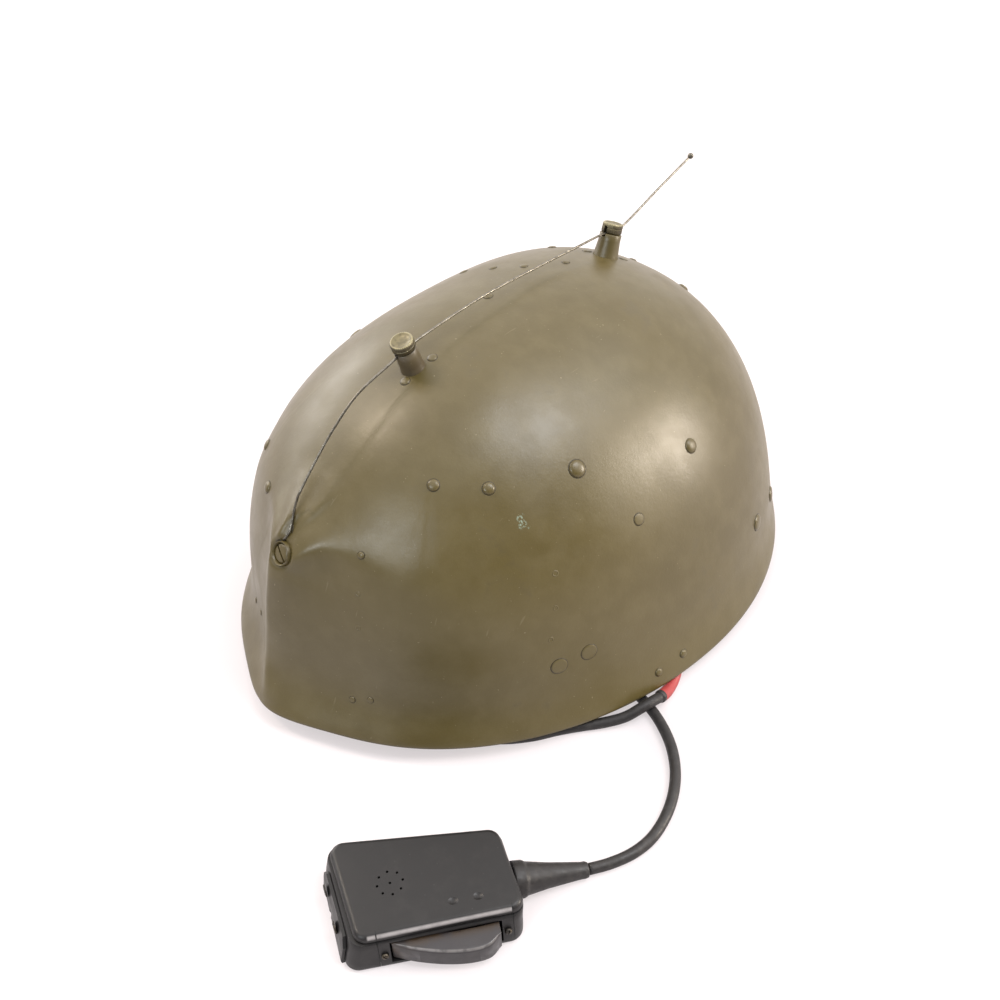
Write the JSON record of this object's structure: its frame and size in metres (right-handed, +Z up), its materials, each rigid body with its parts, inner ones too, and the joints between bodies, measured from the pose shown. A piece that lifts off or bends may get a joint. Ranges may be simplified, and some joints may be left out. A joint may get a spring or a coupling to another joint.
{
  "type": "radio operator helmet",
  "caption": "Domed helmet with a keeled brow, riveted crown and a wire antenna on posts, lying with its cable and a hand-held control box with a talk lever.",
  "frame": {"origin": "middle of the head opening, at the height of the surface that the helmet rests on", "axes": "+Z up from the surface, -Y towards the brow, +X towards the wearer's left"},
  "size_m": [0.2906, 0.3514, 0.1671],
  "materials": {
    "shell": "satin, scuffed",
    "fastener": "satin",
    "post_cap": "knurled, worn",
    "bare_steel": "dull",
    "box_screw": "worn black",
    "sleeve": "satin",
    "cable": "matte",
    "box": "satin black",
    "lever": "worn to bare edges"
  },
  "bodies": {
    "helmet": {"helmet_shell": "shell", "brow_screw": "fastener", "front_post_rivet_a": "fastener", "front_post_rivet_b": "fastener", "rear_post_rivet_a": "fastener", "rear_post_rivet_b": "fastener", "brow_rivet_a": "fastener", "brow_rivet_b": "fastener", "brow_rivet_c": "fastener", "temple_rivet_left_a": "fastener", "temple_rivet_left_b": "fastener", "temple_disc": "fastener", "nape_rivet_left_a": "fastener", "nape_rivet_left_b": "fastener", "nape_rivet_middle": "fastener", "cheek_disc_a": "fastener", "cheek_disc_b": "fastener", "clamp_rivet_a": "fastener", "clamp_rivet_b": "fastener", "skirt_rivet_left_a": "fastener", "skirt_rivet_left_b": "fastener", "skirt_rivet_right_a": "fastener", "skirt_rivet_right_b": "fastener", "brow_rivet_right_a": "fastener", "brow_rivet_right_b": "fastener", "temple_rivet_right_a": "fastener", "temple_rivet_right_b": "fastener", "nape_rivet_right_a": "fastener", "nape_rivet_right_b": "fastener", "crown_rivet_a": "fastener", "crown_rivet_b": "fastener", "crown_rivet_c": "fastener", "crown_rivet_d": "fastener", "crown_rivet_e": "fastener", "crown_rivet_f": "fastener", "crown_rivet_g": "fastener", "front_post_body": "fastener", "front_post_cap": "post_cap", "rear_post_body": "fastener", "rear_post_cap": "post_cap", "antenna_wire": "bare_steel", "antenna_tip": "bare_steel", "cable_clamp": "bare_steel", "cable_ferrule": "bare_steel", "red_sleeve": "sleeve", "cable": "cable", "box_housing": "box", "lever_plate": "box", "box_lid": "box", "lever_pin": "bare_steel", "side_screw_a": "box_screw", "side_screw_b": "box_screw", "end_plate": "box", "end_screw_a": "box_screw", "end_screw_b": "box_screw", "strain_relief": "cable"},
    "talk_lever": {"talk_lever": "lever"}
  },
  "joints": [
    {"name": "talk_lever_press", "type": "hinge", "parent": "helmet", "child": "talk_lever", "pos_m": [0.13314, -0.19993, 0.0096], "axis": [0, 0, 1], "range_deg": [0, 5], "stiffness_Nm_per_rad": 0.4, "springref_deg": -2.86}
  ]
}
